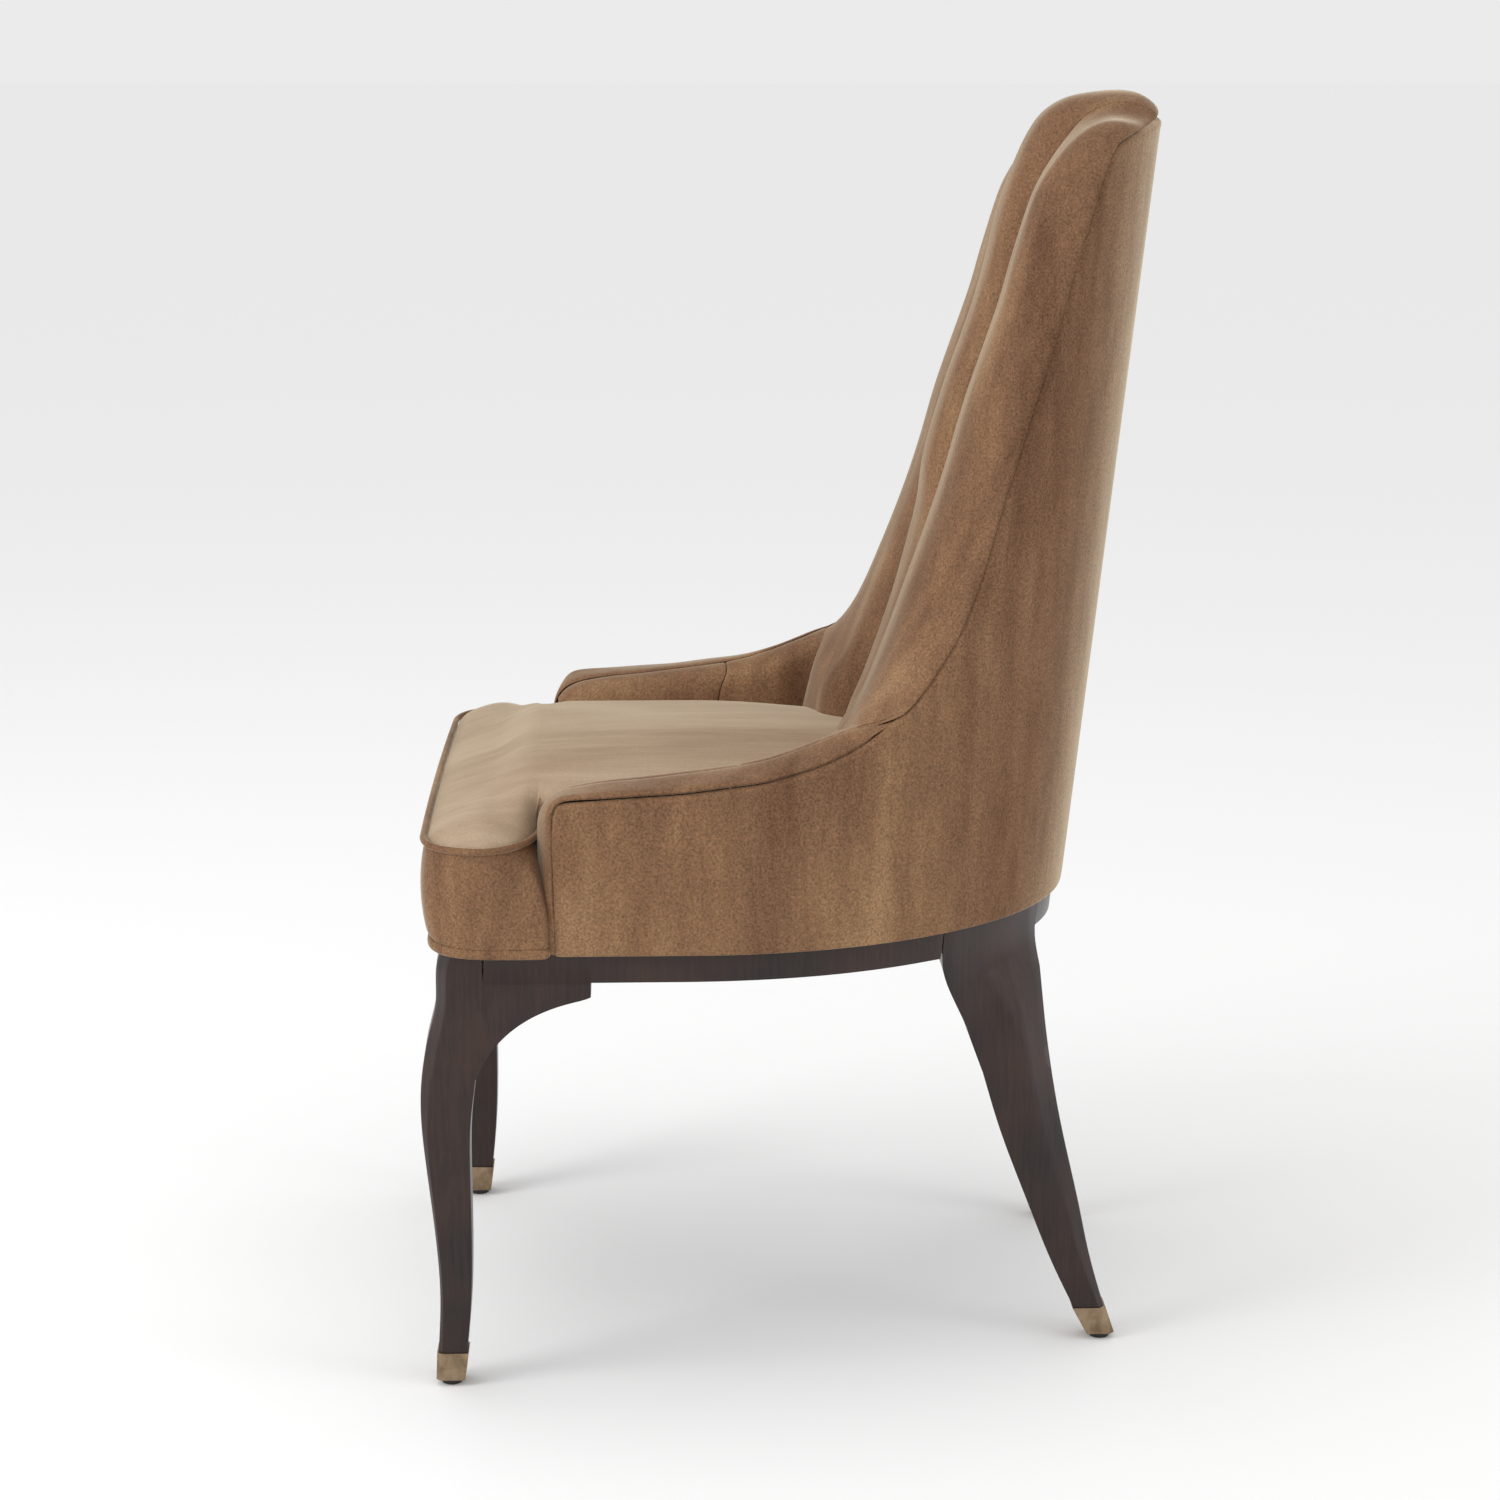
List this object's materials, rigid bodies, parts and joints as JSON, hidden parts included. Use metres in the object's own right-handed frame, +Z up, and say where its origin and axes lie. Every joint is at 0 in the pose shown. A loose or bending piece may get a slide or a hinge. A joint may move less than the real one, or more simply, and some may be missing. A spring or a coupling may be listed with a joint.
{
  "type": "upholstered dining chair",
  "caption": "High-backed dining chair with a velvet shell, channelled back, low wrapped arms, piped seat, dark wood cabriole and sabre legs, and metal-capped feet.",
  "frame": {"origin": "On the floor, under the middle of the chair's box.", "axes": "+Z up; the chair faces -Y; +X is the sitter's left."},
  "size_m": [0.5672, 0.615, 1.043],
  "materials": {
    "velvet": "short-pile cotton velvet, warm taupe tan, mottled by the lie of the nap",
    "dark_wood": "espresso-stained hardwood under satin lacquer",
    "frame_wood": "raw hardwood, hidden inside the upholstery",
    "plywood": "raw birch plywood, hidden",
    "foam": "cut polyurethane seat foam, hidden",
    "cambric": "black non-woven dust cloth",
    "brass": "aged satin brass",
    "steel": "plain zinc-plated steel",
    "glide_plastic": "moulded black nylon"
  },
  "bodies": {
    "frame": {"outer_cover": "velvet", "seat_cover": "velvet", "seat_welt": "velvet", "seat_hem_band": "velvet", "back_channel_centre": "velvet", "back_channel_left": "velvet", "back_channel_right": "velvet", "arm_boxing_left": "velvet", "arm_boxing_right": "velvet", "inner_arm_front_left": "velvet", "inner_arm_front_right": "velvet", "inner_arm_rear_left": "velvet", "inner_arm_rear_right": "velvet", "front_leg_left": "dark_wood", "front_leg_right": "dark_wood", "rear_leg_left": "dark_wood", "rear_leg_right": "dark_wood", "knee_block_left": "dark_wood", "knee_block_right": "dark_wood", "side_rail_left": "dark_wood", "side_rail_right": "dark_wood", "back_rail": "dark_wood", "front_rail": "frame_wood", "corner_block_front_left": "frame_wood", "corner_block_front_right": "frame_wood", "corner_block_rear_left": "frame_wood", "corner_block_rear_right": "frame_wood", "arm_post_left": "frame_wood", "arm_post_right": "frame_wood", "arm_rail_left": "frame_wood", "arm_rail_right": "frame_wood", "back_post_left": "frame_wood", "back_post_right": "frame_wood", "back_top_rail": "frame_wood", "back_stay_rail": "frame_wood", "seat_board": "plywood", "seat_foam": "foam", "dust_cover": "cambric", "ferrule_front_left": "brass", "threaded_insert_front_left": "brass", "seat_screw_front_left": "steel", "ferrule_front_right": "brass", "threaded_insert_front_right": "brass", "seat_screw_front_right": "steel", "ferrule_rear_left": "brass", "threaded_insert_rear_left": "brass", "seat_screw_rear_left": "steel", "ferrule_rear_right": "brass", "threaded_insert_rear_right": "brass", "seat_screw_rear_right": "steel"},
    "glide_front_left": {"glide_base_front_left": "glide_plastic", "glide_stem_front_left": "steel"},
    "glide_front_right": {"glide_base_front_right": "glide_plastic", "glide_stem_front_right": "steel"},
    "glide_rear_left": {"glide_base_rear_left": "glide_plastic", "glide_stem_rear_left": "steel"},
    "glide_rear_right": {"glide_base_rear_right": "glide_plastic", "glide_stem_rear_right": "steel"}
  },
  "joints": [
    {"name": "glide_front_left_screw", "type": "slide", "parent": "frame", "child": "glide_front_left", "axis": [0, 0, -1], "range_m": [0, 0.006]},
    {"name": "glide_front_right_screw", "type": "slide", "parent": "frame", "child": "glide_front_right", "axis": [0, 0, -1], "range_m": [0, 0.006]},
    {"name": "glide_rear_left_screw", "type": "slide", "parent": "frame", "child": "glide_rear_left", "axis": [0, 0, -1], "range_m": [0, 0.006]},
    {"name": "glide_rear_right_screw", "type": "slide", "parent": "frame", "child": "glide_rear_right", "axis": [0, 0, -1], "range_m": [0, 0.006]}
  ]
}
